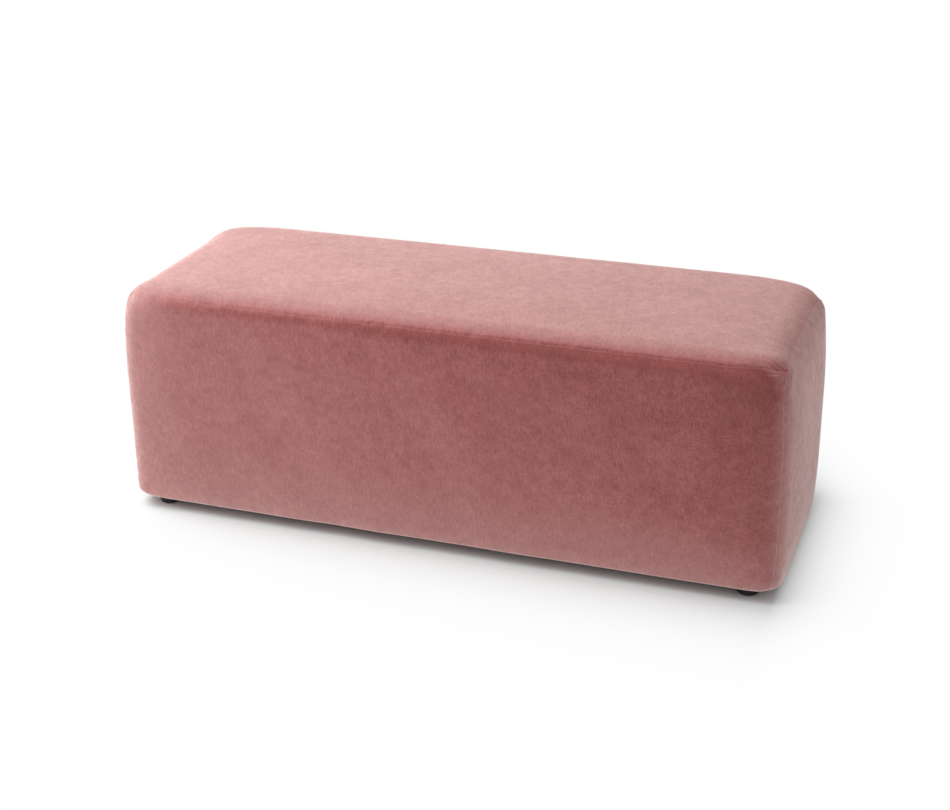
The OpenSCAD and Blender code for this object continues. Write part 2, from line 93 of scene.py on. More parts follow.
class BenchForm(bpy.types.PropertyGroup):
    """Sizes of the cover's form. The solids have the same, but for the lower edge."""
    length: size("Length over the crowned ends", 1200)
    depth: size("Depth over the crowned front and back", 430)
    height: size("Height from the floor to the middle of the seat", 435)
    seat_crown: size("How far the middle of the seat stands over its edges", 8)
    front_crown: size("How far the front and back swell in the middle", 3)
    end_crown: size("How far the ends swell in the middle", 4)
    side_seam_in_x: size("How far the upright seams are drawn in from the end face", 6)
    side_seam_in_y: size("How far the upright seams are drawn in from the front face", 15)
    long_seam_drop: size("How far the long top seams are drawn down", 2)
    end_seam_drop: size("How far the end top seams are drawn down", 10)
    end_seam_in: size("How far the end top seams are drawn in", 18)
    corner_in_x: size("How far a top corner is drawn in from the end", 9)
    corner_in_y: size("How far a top corner is drawn in from the front", 34)
    corner_drop: size("How far a top corner is drawn down", 6)
    fade_x: size("Reach along the length over which an edge rounds off", 150)
    fade_y: size("Reach along the depth over which an edge rounds off", 140)
    fade_z: size("Reach down the height over which an edge rounds off", 190)
    fade_corner: size("Reach over which a top corner rounds off", 95)
    seat_edge_radius: size("Radius with which the seat turns into its seams", 70)
    long_seam_radius: size("Radius with which front and back turn into the top seams", 30)
    end_seam_radius: size("Radius with which the ends turn into the top seams", 36)
    side_seam_radius: size("Radius with which the sides turn into the upright seams", 40)
    seam_turn: turn("Turn of each panel's edge into its seam", 35)
    edge_power: share("Fullness of the edges. Higher is tighter to the seam", 2.4, 4)
    corner_power: share("Fullness of the corners. Higher is tighter to the corner", 1.8, 4)
    low_round_z: size("Height of the lower edge round", 8)
    low_round_in: size("Depth of the lower edge round", 13)
    low_in_x: size("How far the end's lower edge is drawn in", 2.5)
    low_in_y: size("How far the front's straight lower edge is drawn in", 8)
    low_reach: size("Height over which the straight lower edge fades", 130)
    low_corner_lift: size("Extra height of the lower round at a corner", 6)
    low_corner_in: size("Extra depth of the lower round at a corner", 6)
    fade_low: size("Reach over which a lower corner rounds off", 52)
    flap_reach: size("How far the cover reaches in under the bench", 72)
    floor_gap: size("From the floor to the cover's underside", 19.8)


class BenchSeams(bpy.types.PropertyGroup):
    """The small relief that sewing and stuffing give the velvet."""
    thickness: size("Velvet with its backing", 1.5)
    play: size("Half of the parting between two panels", 0.06)
    roll: size("Depth to which a panel's edge rolls into an upright seam", 0.2)
    top_roll: size("Depth to which a panel's edge rolls into a top seam", 0.03)
    roll_width: size("Width over which the edge rolls in", 1.2)
    ridge: size("Height of the seam allowance's ridge beside a seam", 0.05)
    pucker: size("Height of the gathers along a seam", 0.25)
    crease: size("Depth of the creases that fan out from a top corner", 0.5)
    undulation: size("Unevenness of the padding", 0.35)
    step: size("Widest step between two points of a panel", 5.0)
    stuffing: share("Outward pressure on the sewn cover while it settles", 1.0, 20)
    easing: bpy.props.IntProperty(description="Rounds of easing of the seams", default=45, min=0)
    settle: size("The most that a point of the cover moves as it settles", 4)
    settle_reach: size("Distance from a seam within which the cover is free to settle", 60)


class BenchFinish(bpy.types.PropertyGroup):
    """Colours of the finishes, the velvet's painted sheen and its painted light, highlight and
    shade, and how the velvet's nap shows.
    """
    # Painted sheen: these colours make the velvet's base colour pale as it turns from the eye to a
    # grazed rim
    velvet_ahead: tone("Velvet looked at along its pile", (157, 89, 86))
    velvet_facing: tone("Velvet turned away by a fifteenth", (147, 82, 79))
    velvet_near: tone("Velvet turned away by an eighth", (168, 101, 99))
    velvet_turned: tone("Velvet turned away by a fifth", (179, 119, 117))
    velvet_aside: tone("Velvet turned away by two thirds", (206, 160, 156))
    velvet_far: tone("Velvet turned away by five sixths", (220, 173, 169))
    velvet_rim: tone("Velvet grazed by the eye", (250, 219, 214))
    cloud: share("Strength of the broad clouds in the nap", 0.05)
    mottle: share("Strength of the small patches in the nap", 0.2)
    grain: share("Strength of the pile's strokes and tufts", 0.2)
    shading: share("How much the nap lightens and darkens the velvet", 1.8, 4)
    shading_facing: share("How much more it does so where the velvet faces the eye", 2.5, 4)
    # Painted highlight: paler where the parted pile catches the light along an upright seam
    seam_highlight_pale: share("How much paler the parted pile is along an upright seam", 0.1)
    # Painted bounce light from the floor: the velvet pales towards the lower edge
    hem_bounce_pale: share("How much paler the nap lies towards the lower edge", 0.1)
    # Painted sheen and bounce light: the velvet pales along the lower edge
    edge_sheen_pale: share("How much paler the nap lies along the lower edge", 0.15)
    # Painted shade: the seat is deeper along its end seams
    verge_shade_deep: share("How much deeper the pressed nap is along the seat's seams", 0.12)
    sheen: share("Strength of the pile's soft gloss", 0.03)
    sheen_roughness: share("How far the soft gloss spreads", 0.35)
    sheen_tint: tone("Colour of the pile's soft gloss", (255, 214, 208))
    wadding: tone("Polyester wadding", (240, 240, 236))
    foam: tone("Upholstery foam", (238, 228, 188))
    pine_early: tone("Pale part of a growth ring", (226, 196, 148))
    pine_late: tone("Dark part of a growth ring", (190, 140, 84))
    birch: tone("Birch face veneer", (222, 196, 158))
    hardboard: tone("Brown pressed board", (122, 84, 54))
    cloth: tone("Black non-woven cloth", (24, 24, 26))
    plastic: tone("Black moulded plastic", (20, 20, 21))
    zinc: tone("Plated screws and staples", (196, 196, 190))


class BenchStage(bpy.types.PropertyGroup):
    """Camera, lamps and floor."""
    azimuth: turn("Camera's turn round the bench from the front", 19.829)
    elevation: turn("Camera's height above the horizon", 23.5100)
    distance: size("Camera's distance from the middle of the bench", 2962.06)
    yaw: turn("Small turn of the camera sideways", -0.0692)
    pitch: turn("Small turn of the camera upwards", -0.4230)
    roll: turn("Small turn of the camera about its axis", 0.8361)
    lens: share("Focal length in millimetres on a 36 mm sensor", 63.183, 300)
    floor: tone("Colour of the floor", (240, 247, 247))
    shade_ahead: size("Distance over which the floor clears in front of the bench", 72)
    shade_aside: size("Distance over which the floor clears beside the bench", 42)
    shade_under: size("How far inside the bench's ends the floor starts to clear", 22)
    sky: share("Strength of the even light all round", 0.48, 4)
    key: share("Power of the large lamp in watts", 56, 1000)
    fill: share("Power of the fill lamp in watts", 11.2, 1000)
    edge: share("Power of the low lamp at the left in watts", 4, 1000)


# Form of the cover
def fade(distance, reach, power):
    """One minus distance over reach, raised to power, and nothing past the reach."""
    return np.clip(1 - distance / reach, 0, 1) ** power


def smooth(x):
    """A smooth step from nothing at 0 to one at 1."""
    x = np.clip(x, 0, 1)
    return x * x * (3 - 2 * x)


def swell(place):
    """One minus the cube of |place|, squared: full in the middle and level at both ends."""
    return (1 - np.abs(place) ** 3) ** 2


def stations(span, first, growth, most):
    """Distances from 0 to span whose step starts at first, grows by growth times the distance, and
    stays under most: the running sum of one over the step is cut into equal parts."""
    samples = 6000
    d = np.linspace(0, span, samples)
    rate = 1 / np.minimum(first + growth * d, most)
    count = np.concatenate([[0], np.cumsum((rate[1:] + rate[:-1]) / 2 * np.diff(d))])
    n = math.ceil(count[-1])
    return np.interp(np.arange(n + 1) * count[-1] / n, count, d)


def across(span, first, growth, most):
    """Places from -1 to 1 across a panel of that span, with stations drawn from both its seams."""
    half = stations(span / 2, first, growth, most)
    left = 2 * half / span - 1
    return np.concatenate([left, -left[-2::-1]])


def waves(x, y, shortest, longest, count, seed):
    """Sum of count cosine waves of random direction and phase, with wavelengths from shortest to
    longest, scaled to a usual height of one."""
    rng = np.random.default_rng(seed)
    k = 2 * np.pi / np.exp(rng.uniform(math.log(shortest), math.log(longest), count))
    way, phase = rng.uniform(0, 2 * np.pi, (2, count))
    arg = x[..., None] * (k * np.cos(way)) + y[..., None] * (k * np.sin(way)) + phase
    return np.cos(arg).sum(-1) * math.sqrt(2 / count)


def joined(*parts):
    """Points from their x, y and z, which are brought to one shape."""
    return np.stack(np.broadcast_arrays(*parts), -1)


def half_turn(points, turned=True):
    """The points turned half round about the upright axis, or as they are if not turned."""
    return points * np.array([-1.0, -1.0, 1.0]) if turned else points


class Cover:
    """The drawn-in cover: each face stands back from its flat place by a pull that is greatest at a
    seam and fades with the distance from it, and it turns into the seam round a circular arc."""

    def __init__(self, context):
        self.form, self.seams = context.scene.bench_form, context.scene.bench_seams
        self.low = self.form.floor_gap + self.form.low_round_z
        self.top = self.form.height - self.form.seat_crown
        self.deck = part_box("deck_board")[1].z
        self.rise = self.top - self.low
        self.settled = {}

    def grid(self, *steps):
        """Places along the length and along the depth, and nominal heights, spaced by steps."""
        return (across(self.form.length, *steps), across(self.form.depth, *steps),
                self.top - stations(self.rise, *steps)[::-1])

    def half_x(self, depth):
        return self.form.length / 2 - self.form.end_crown - depth

    def half_y(self, depth):
        return self.form.depth / 2 - self.form.front_crown - depth

    def arc(self, distance, radius):
        """Fall of a circular arc that starts level and has turned by seam_turn at the seam."""
        left = np.clip(radius * math.sin(self.form.seam_turn) - distance, 0, None)
        return radius - np.sqrt(radius ** 2 - left ** 2)

    def both(self, a, b):
        f = self.form
        return fade(a, f.fade_corner, f.corner_power) * fade(b, f.fade_corner, f.corner_power)

    def pull_x(self, dy, dz, drop=0.0):
        """How far the end stands back, dy from an upright seam and nominally dz, truly drop, below
        its top seam."""
        f = self.form
        return (f.side_seam_in_x * fade(dy, f.fade_y, f.edge_power)
                + f.end_seam_in * fade(dz, f.fade_z, f.edge_power)
                + (f.corner_in_x - f.side_seam_in_x - f.end_seam_in) * self.both(dy, dz)
                + self.arc(dy, f.side_seam_radius) + self.arc(drop, f.end_seam_radius))

    def pull_y(self, dx, dz, drop=0.0):
        """How far the front stands back, dx from an upright seam and nominally dz, truly drop,
        below its top seam."""
        f = self.form
        return (f.side_seam_in_y * fade(dx, f.fade_x, f.edge_power)
                + (f.corner_in_y - f.side_seam_in_y) * self.both(dx, dz)
                + self.arc(dx, f.side_seam_radius) + self.arc(drop, f.long_seam_radius))

    def low_x(self, dy, up):
        """How much fuller the end is than its pull makes it: less than nothing, as it is drawn in
        towards its lower edge and more so at the corners. This fades with the height up."""
        f = self.form
        corner = 1 + fade(dy, f.fade_low, f.corner_power)
        return -f.low_in_x * corner * fade(up, f.low_reach / 2, 2)

    def low_y(self, dx, up):
        """How much fuller the front is than its pull makes it: its lower edge, stapled along the
        straight frame, is straight. This fades with the height up."""
        f = self.form
        straight = f.side_seam_in_y * fade(dx, f.fade_x, f.edge_power) - f.low_in_y
        return straight * fade(up, f.low_reach, 2)

    def pull_z(self, dx, dy):
        """How far the seat stands down, dx from an end seam and dy from a long seam."""
        f = self.form
        return (f.end_seam_drop * fade(dx, f.fade_x, f.edge_power)
                + f.long_seam_drop * fade(dy, f.fade_y, f.edge_power)
                + (f.corner_drop - f.end_seam_drop - f.long_seam_drop) * self.both(dx, dy)
                + self.arc(dx, f.seat_edge_radius) + self.arc(dy, f.seat_edge_radius))

    def row_z(self, nominal, foot, seam):
        """Height of a row: the nominal rise from foot to deck, then from deck to seam, each in
        proportion."""
        under = foot + (self.deck - foot) * (nominal - self.low) / (self.deck - self.low)
        over = self.deck + (seam - self.deck) * (nominal - self.deck) / (self.top - self.deck)
        return np.where(nominal <= self.deck, under, over)

    def slow(self, panel):
        """Unevenness of the padding: slow waves that come to nothing at the seams."""
        reach, shortest, longest = 70 * MM, 110 * MM, 320 * MM
        uneven = waves(panel.along, panel.over, shortest, longest, count=20, seed=panel.seed + 1)
        calm = smooth(np.minimum(panel.near, panel.beside) / reach)
        return self.seams.undulation * uneven * calm * panel.level

    def sewing(self, panel):
        """Relief of the sewing: the ridge of the seam allowance beside a seam, gathers along it,
        creases that fan out from a top corner, and the seam itself, a quarter round over the seam's
        width, where a corner's two seams join as the cube root of the sum of their cubes."""
        c = self.seams
        near, beside = panel.near, panel.beside
        ridge_place, ridge_half, gather_reach = 5 * MM, 3 * MM, 18 * MM
        folds, fan_start, fan_reach = 13, 12 * MM, 75 * MM
        ridge = sum(np.exp(-((d - ridge_place) / ridge_half) ** 2) for d in (near, beside))
        flat = 0 * panel.along
        gather = sum(waves(place, flat, 14 * MM, 40 * MM, count=24, seed=seed)
                     * fade(d, gather_reach, 1.5)
                     for d, (place, seed) in zip((near, beside), panel.seams))
        sway = waves(panel.along, panel.over, 30 * MM, 90 * MM, count=8, seed=panel.seed)
        fan = np.cos(folds * np.arctan2(beside, near) + 2 * sway)
        crease = (fan * np.clip(np.minimum(near, beside) / fan_start, 0, 1)
                  * fade(np.hypot(near, beside), fan_reach, 1.6))

        def quarter(d):
            return 1 - np.sqrt(1 - (1 - np.minimum(d, c.roll_width) / c.roll_width) ** 2)
        deep = c.top_roll if panel.face == "seat" else c.roll
        roll = np.cbrt((deep * quarter(near)) ** 3 + (c.top_roll * quarter(beside)) ** 3)
        return panel.level * (c.ridge * ridge + c.pucker * gather + c.crease * crease - roll)


class Panel:
    """A grid of points on the seat, the front or the right end, its rows going back or up. s holds
    the places from -1 to 1 across it. The seat has places t from front to back. A side panel has
    shares of its flap, angles round the lower edge from 90 degrees to nothing, and nominal heights
    up to the seam. near is the distance from the nearer upright seam, or on the seat from an end's,
    and beside that from the top seam, or on the seat from a long one. level is nothing on the flap
    and one on the face. seams holds the place along each seam and its seed, the same for both
    panels there."""

    def __init__(self, cover, face, s, t=(), flap=(), bend=(), rise=(), seed=0):
        self.cover, self.face, self.s, self.seed = cover, face, s, seed
        self.t, self.flap, self.bend, self.heights = (np.asarray(v) for v in (t, flap, bend, rise))
        f = cover.form
        if face == "seat":
            beside, level = (1 - np.abs(self.t)) * f.depth / 2, 0 * self.t + 1
        else:
            flat, bend, up = 0 * self.flap, 0 * self.bend, 0 * self.heights
            beside = np.concatenate([flat + cover.rise, bend + cover.rise,
                                     cover.top - self.heights])
            level = np.concatenate([flat, np.cos(self.bend), up + 1])
        self.beside, self.level = beside[:, None] + 0 * s, level[:, None] + 0 * s
        self.span = f.depth if face == "end" else f.length
        self.near = (1 - np.abs(s)) * self.span / 2 + 0 * self.beside
        outer = self.points(0.0, 0.0)
        self.along = outer[..., int(face == "end")]
        self.over = outer[..., 1 if face == "seat" else 2]
        if face == "seat":
            self.seams = ((np.sign(s) * self.over, END_SEAM),
                          (-np.sign(self.t)[:, None] * self.along, LONG_SEAM))
        else:
            self.seams = ((self.over, UPRIGHT_SEAM),
                          (self.along, END_SEAM if face == "end" else LONG_SEAM))

    def points(self, depth, play):
        """Points at a depth under the velvet's face, a play short of the seams, moved as the cover
        settled. Rows round and under the lower edge, which is held, aren't moved."""
        drawn = self.drawn(depth, play)
        if self.face in self.cover.settled:
            s, rows, move = self.cover.settled[self.face]
            own = self.t if self.face == "seat" else self.heights
            move = np.einsum("jk,kld->jld", curve_through(own, rows), move)
            drawn[-len(own):] += np.einsum("il,jld->jid", curve_through(self.s, s), move)
        return drawn

    def drawn(self, depth, play):
        """Points as cut and sewn: a face's flat place, less the pull of its seams, plus the crown,
        which is the product of two swells."""
        c, f, s = self.cover, self.cover.form, self.s[None, :]
        if self.face == "seat":
            t, dx, dy = self.t[:, None], self.near, self.beside
            return joined(s * (c.half_x(depth) - c.pull_x(dy, 0) - play),
                          t * (c.half_y(depth) - c.pull_y(dx, 0) - play),
                          c.top - depth - c.pull_z(dx, dy) + f.seat_crown * swell(s) * swell(t))
        end = self.face == "end"
        d = self.near[:1]
        corner = fade(d, f.fade_low, f.corner_power)
        lift = f.low_corner_lift * corner
        inset = f.low_round_in + f.low_corner_in * corner - depth
        wide, thick = (c.half_y, c.half_x) if end else (c.half_x, c.half_y)
        face_pull, side_pull = (c.pull_x, c.pull_y) if end else (c.pull_y, c.pull_x)
        fuller, side_fuller = (c.low_x, c.low_y) if end else (c.low_y, c.low_x)
        crown = f.end_crown if end else f.front_crown

        def place(along, out, z):
            """Turns a panel's own along, out and up into x, y and z."""
            return joined(out, along, z) if end else joined(along, -out, z)

        a = self.bend[:, None]
        back = inset * (1 - np.cos(a))
        under = place(
            s * (wide(depth) - side_pull(0, c.rise, c.rise) + side_fuller(0, 0) - back - play),
            thick(depth) - face_pull(d, c.rise, c.rise) + fuller(d, 0) - back,
            c.low + lift - (f.low_round_z + lift - depth) * np.sin(a))
        inner = place(s * (self.span / 2 - f.flap_reach - play),
                      (f.length if end else f.depth) / 2 - f.flap_reach + 0 * s,
                      f.floor_gap + depth + 0 * s)
        share_out = self.flap[:, None, None]
        flat = inner * (1 - share_out) + under[:1] * share_out
        n = self.heights[:, None]
        dz, up = c.top - n, n - c.low
        seam = c.top - depth - play - (c.pull_z(0, d) if end else c.pull_z(d, 0))
        z = c.row_z(n, c.low + lift, seam)
        drop = seam - z
        wall = place(s * (wide(depth) - side_pull(0, dz, drop[:, :1]) + side_fuller(0, up) - play),
                     thick(depth) - face_pull(d, dz, drop) + fuller(d, up)
                     + crown * swell(s) * swell(2 * up / c.rise - 1), z)
        return np.concatenate([flat, under, wall])

    def way(self):
        """Way in which relief is raised: the face's own outward way, turned at a seam to the mean
        of the faces that meet there, and downwards round the lower edge."""
        reach = 40 * MM
        out, side = self.level, np.sign(self.s) * fade(self.near, reach, 1.5) * self.level
        up = fade(self.beside, reach, 1.5)
        if self.face == "seat":
            parts = side, np.sign(self.t)[:, None] * up, out
        else:
            down = up - np.sqrt(np.clip(1 - self.level ** 2, 0, 1))
            parts = (out, side, down) if self.face == "end" else (side, -out, down)
        v = joined(*parts)
        return v / np.linalg.norm(v, axis=-1, keepdims=True)

    def raised(self, depth, play, height):
        return self.points(depth, play) + height[..., None] * self.way()


def curve_through(places, knots):
    """Matrix that takes values at the knots to values at the places, by cubic curves whose slope at
    a knot is half the difference of its two neighbours."""
    at = np.interp(places, knots, np.arange(len(knots)))
    cell = np.minimum(at.astype(int), len(knots) - 2)
    u = at - cell
    weights = (-u + 2 * u ** 2 - u ** 3, 2 - 5 * u ** 2 + 3 * u ** 3,
               u + 4 * u ** 2 - 3 * u ** 3, u ** 3 - u ** 2)
    matrix, row = np.zeros((len(places), len(knots))), np.arange(len(places))
    for k, weight in enumerate(weights):
        np.add.at(matrix, (row, np.clip(cell + k - 1, 0, len(knots) - 1)), weight / 2)
    return matrix


def eased(points, quads, free, rounds):
    """Points drawn by turns half way towards the mean of their neighbours and a little less than
    that away from it, times free, so that creases go and round forms mostly stay."""
    ends = np.concatenate([quads[:, [k, (k + 1) % 4]] for k in range(4)])
    ends = np.unique(np.concatenate([ends, ends[:, ::-1]]), axis=0)
    count = np.bincount(ends[:, 0], minlength=len(points))[:, None]
    points = points.copy()
    for draw in (0.5, -0.4) * rounds:
        total = np.stack([np.bincount(ends[:, 0], points[ends[:, 1], k], len(points))
                          for k in range(3)], -1)
        points += draw * free[:, None] * (total / count - points)
    return points


def blown_up(skin, hold, pressure):
    """Places of the skin's points after it was blown up as cloth. The skin is then taken away."""
    frames, weight, quality = 20, 0.3, 6
    group = skin.vertex_groups.new(name="hold")
    for value in np.unique(hold):
        group.add(np.flatnonzero(hold == value).tolist(), float(value), "REPLACE")
    cloth = skin.modifiers.new("cloth", "CLOTH").settings
    cloth.quality, cloth.mass = quality, weight
    cloth.use_pressure, cloth.uniform_pressure_force = True, pressure
    cloth.vertex_group_mass = "hold"
    cloth.effector_weights.gravity = 0
    scene = bpy.context.scene
    for number in range(1, frames + 1):
        scene.frame_set(number)
    places = np.empty(3 * len(hold))
    shown = skin.evaluated_get(bpy.context.evaluated_depsgraph_get())
    shown.data.vertices.foreach_get("co", places)
    bpy.data.objects.remove(skin)
    scene.frame_set(1)
    return places.reshape(-1, 3)


def settle(cover):
    """Lets the sewn cover settle over its stuffing: the five panels are joined into one skin on a
    coarse grid, its seams are eased, and it is blown up as cloth, held along the lower edge and,
    more and more with the distance from a seam, over the faces. How far each point moves is capped,
    made the same on both sides of the bench, and kept for the fine panels."""
    c, same_place = cover.seams, 0.02 * MM
    lengthwise, crosswise, heights = cover.grid(*SKIN_STEPS)
    seat = Panel(cover, "seat", lengthwise, crosswise)
    front = Panel(cover, "long", lengthwise, rise=heights)
    right = Panel(cover, "end", crosswise, rise=heights)
    grids, holds, quads, count = [], [], [], 0
    for panel, turned in ((seat, False), (front, False), (front, True),
                          (right, False), (right, True)):
        hold = smooth(np.minimum(panel.near, panel.beside) / c.settle_reach)
        if panel is not seat:
            hold[:2] = 1
        quads.append(grid_faces(*hold.shape, count))
        count += hold.size
        grids.append(half_turn(panel.drawn(0.0, 0.0), turned))
        holds.append(hold.ravel())
    flat = np.concatenate([points.reshape(-1, 3) for points in grids])
    first, same = np.unique(np.round(flat / same_place).astype(int), axis=0, return_index=True,
                            return_inverse=True)[1:]
    same = same.ravel()
    rest, hold = flat[first], np.concatenate(holds)[first]
    quads = same[np.concatenate(quads)]
    skin = put_mesh("skin", rest, quads, None)
    outward = np.empty(rest.size)
    skin.data.vertices.foreach_get("normal", outward)
    outward = outward.reshape(-1, 3)
    ease = eased(rest, quads, 1 - hold, c.easing) - rest
    begun = rest + outward * (ease * outward).sum(-1, keepdims=True)
    skin.data.vertices.foreach_set("co", begun.ravel())
    move = blown_up(skin, hold, c.stuffing) - rest
    length = np.linalg.norm(move, axis=1, keepdims=True)
    move *= np.minimum(length, c.settle) / np.maximum(length, 1e-9)
    cuts = np.cumsum([points.size // 3 for points in grids])[:-1]
    parts = [part.reshape(points.shape) for part, points in zip(np.split(move[same], cuts), grids)]
    over_x, over_y = np.array([-1.0, 1.0, 1.0]), np.array([1.0, -1.0, 1.0])
    top = (parts[0] + half_turn(parts[0][::-1, ::-1])) / 2
    side, end = (parts[1] + half_turn(parts[2])) / 2, (parts[3] + half_turn(parts[4])) / 2
    cover.settled = {"seat": (lengthwise, crosswise, (top + over_x * top[:, ::-1]) / 2),
                     "long": (lengthwise, heights, (side + over_x * side[:, ::-1]) / 2),
                     "end": (crosswise, heights, (end + over_y * end[:, ::-1]) / 2)}


# Meshes
def grid_faces(rows, cols, start=0, turned=False):
    """Corner numbers of the quads of a grid of points, given row by row."""
    j, i = np.mgrid[0:rows - 1, 0:cols - 1]
    at = start + j * cols + i
    q = np.stack([at, at + 1, at + cols + 1, at + cols], -1).reshape(-1, 4)
    return q[:, ::-1] if turned else q


def rim_faces(rows, cols, count):
    """Quads that join the rims of two grids of one size, the second of which starts at count."""
    n = np.arange(rows * cols).reshape(rows, cols)
    ring = np.concatenate([n[0, :-1], n[:-1, -1], n[-1, :0:-1], n[:0:-1, 0]])
    after = np.roll(ring, -1)
    return np.stack([after, ring, ring + count, after + count], -1)


def flat_map(points):
    """Lengths along the middle row and the middle column of a grid, as a map in metres."""
    rows, cols = points.shape[:2]

    def run(line):
        step = np.linalg.norm(np.diff(line, axis=0), axis=1)
        total = np.concatenate([[0], np.cumsum(step)])
        return total - total[-1] / 2
    u, v = np.meshgrid(run(points[rows // 2]), run(points[:, cols // 2]))
    return np.stack([u, v], -1)


def put_mesh(name, points, quads, finish, uv=None, facts=None):
    """A smooth mesh object from points and quads, with a map and facts of its points."""
    mesh = bpy.data.meshes.new(name)
    mesh.from_pydata(np.ascontiguousarray(points.reshape(-1, 3), dtype=np.float64), [], quads)
    if uv is not None:
        corners = uv.reshape(-1, 2)[quads.reshape(-1)]
        mesh.uv_layers.new(name="cloth").data.foreach_set("uv", corners.astype(np.float32).ravel())
    for key, values in (facts or {}).items():
        fact = mesh.attributes.new(key, "FLOAT", "POINT")
        fact.data.foreach_set("value", values.astype(np.float32).ravel())
    mesh.polygons.foreach_set("use_smooth", np.ones(len(quads), bool))
    if finish is not None:
        mesh.materials.append(finish)
    mesh.update()
    if mesh.validate(verbose=False):
        raise RuntimeError(f"{name} has faulty faces")
    piece = bpy.data.objects.new(name, mesh)
    bpy.context.scene.collection.objects.link(piece)
    return piece


def put_shell(name, outer, inner, finish, facts=None):
    """A closed shell between an outer and an inner grid of points."""
    rows, cols = outer.shape[:2]
    count = rows * cols
    quads = np.concatenate([grid_faces(rows, cols), grid_faces(rows, cols, count, True),
                            rim_faces(rows, cols, count)])
    both = {key: np.concatenate([v.ravel(), v.ravel()]) for key, v in (facts or {}).items()}
    uv = flat_map(outer)
    points = np.concatenate([outer.reshape(-1, 3), inner.reshape(-1, 3)])
    return put_mesh(name, points, quads, finish, np.concatenate([uv, uv]), both)


# Finishes
class Wire:
    """A value in a material. Sums on it add Math nodes."""

    def __init__(self, finish, socket):
        self.finish, self.socket = finish, socket

    def maths(self, operation, *others, turned=False):
        terms = [self, *others]
        if turned:
            terms.reverse()
        return self.finish.node("ShaderNodeMath", {"operation": operation}, dict(enumerate(terms)))

    def __add__(self, other):
        return self.maths("ADD", other)

    def __sub__(self, other):
        return self.maths("SUBTRACT", other)

    def __rsub__(self, other):
        return self.maths("SUBTRACT", other, turned=True)

    def __mul__(self, other):
        return self.maths("MULTIPLY", other)

    def __truediv__(self, other):
        return self.maths("DIVIDE", other)

    def power(self, other):
        return self.maths("POWER", other)

    def smooth(self, low, high):
        """Nothing below low, one above high, and a smooth step between."""
        return self.finish.node("ShaderNodeMapRange", {"interpolation_type": "SMOOTHSTEP"},
                                {"Value": self, "From Min": low, "From Max": high})

    __radd__, __rmul__ = __add__, __mul__


class Finish:
    """A material under construction."""

    def __init__(self, name):
        self.material = bpy.data.materials.new(name)
        self.material.use_nodes = True
        self.tree = self.material.node_tree
        self.tree.nodes.clear()

    def node(self, kind, settings=None, sockets=None, out=0):
        """A node of that kind. Its settings come first, then the values or wires of its sockets."""
        made = self.tree.nodes.new(kind)
        for key, value in (settings or {}).items():
            if key == "stops":
                ramp = made.color_ramp.elements
                while len(ramp) < len(value):
                    ramp.new(0.5)
                for stop, (at, colour) in zip(ramp, value):
                    stop.position, stop.color = at, (*colour, 1)
            else:
                setattr(made, key, value)
        for key, value in (sockets or {}).items():
            slot = made.inputs[key]
            if isinstance(value, Wire):
                self.tree.links.new(value.socket, slot)
            elif slot.type == "RGBA" and len(value) == 3:
                slot.default_value = (*value, 1)
            else:
                slot.default_value = value
        return Wire(self, made.outputs[out])

    def place(self, *scale, kind="Object"):
        """Places on the object, or with UV on its cloth map, in metres times scale."""
        where = self.node("ShaderNodeTexCoord", out=kind)
        return self.node("ShaderNodeMapping", None, {"Vector": where, "Scale": scale or (1, 1, 1)})

    def part(self, where, axis):
        return self.node("ShaderNodeSeparateXYZ", None, {0: where}, axis)

    def fact(self, name):
        """A fact that the mesh keeps for each of its points."""
        return self.node("ShaderNodeAttribute", {"attribute_name": name}, out="Fac")

    def noise(self, where, scale, detail=2.0, roughness=0.5, distortion=0.0):
        return self.node("ShaderNodeTexNoise", {"noise_dimensions": "3D"},
                         {"Vector": where, "Scale": scale, "Detail": detail, "Roughness": roughness,
                          "Distortion": distortion}, "Fac")

    def cells(self, where, scale, randomness=1.0):
        return self.node("ShaderNodeTexVoronoi", {"feature": "F1"},
                         {"Vector": where, "Scale": scale, "Randomness": randomness}, "Distance")

    def mix(self, factor, first, second):
        """Colour from first to second as factor goes from nothing to one."""
        return self.node("ShaderNodeMix", {"data_type": "RGBA"},
                         {0: factor, 6: first, 7: second}, 2)

    def mottled(self, colour, factor, low, high, dark, light):
        """The colour times dark where factor is under low, and times light where it is above."""
        return self.mix(factor.smooth(low, high), dimmed(colour, dark), dimmed(colour, light))

    def bump(self, height, distance, strength=1.0, after=None):
        sockets = {"Height": height, "Distance": distance, "Strength": strength}
        if after is not None:
            sockets["Normal"] = after
        return self.node("ShaderNodeBump", None, sockets)

    def surface(self, **sockets):
        """The principled shader and the output. Socket names are given with _ for a space."""
        named = {key.replace("_", " "): value for key, value in sockets.items()}
        self.finish_with(self.node("ShaderNodeBsdfPrincipled", None, named))

    def finish_with(self, shader):
        last = self.tree.nodes.new("ShaderNodeOutputMaterial")
        self.tree.links.new(shader.socket, last.inputs["Surface"])


def dimmed(colour, by):
    """A colour times a number, with no channel over one."""
    return tuple(min(1, by * channel) for channel in colour)


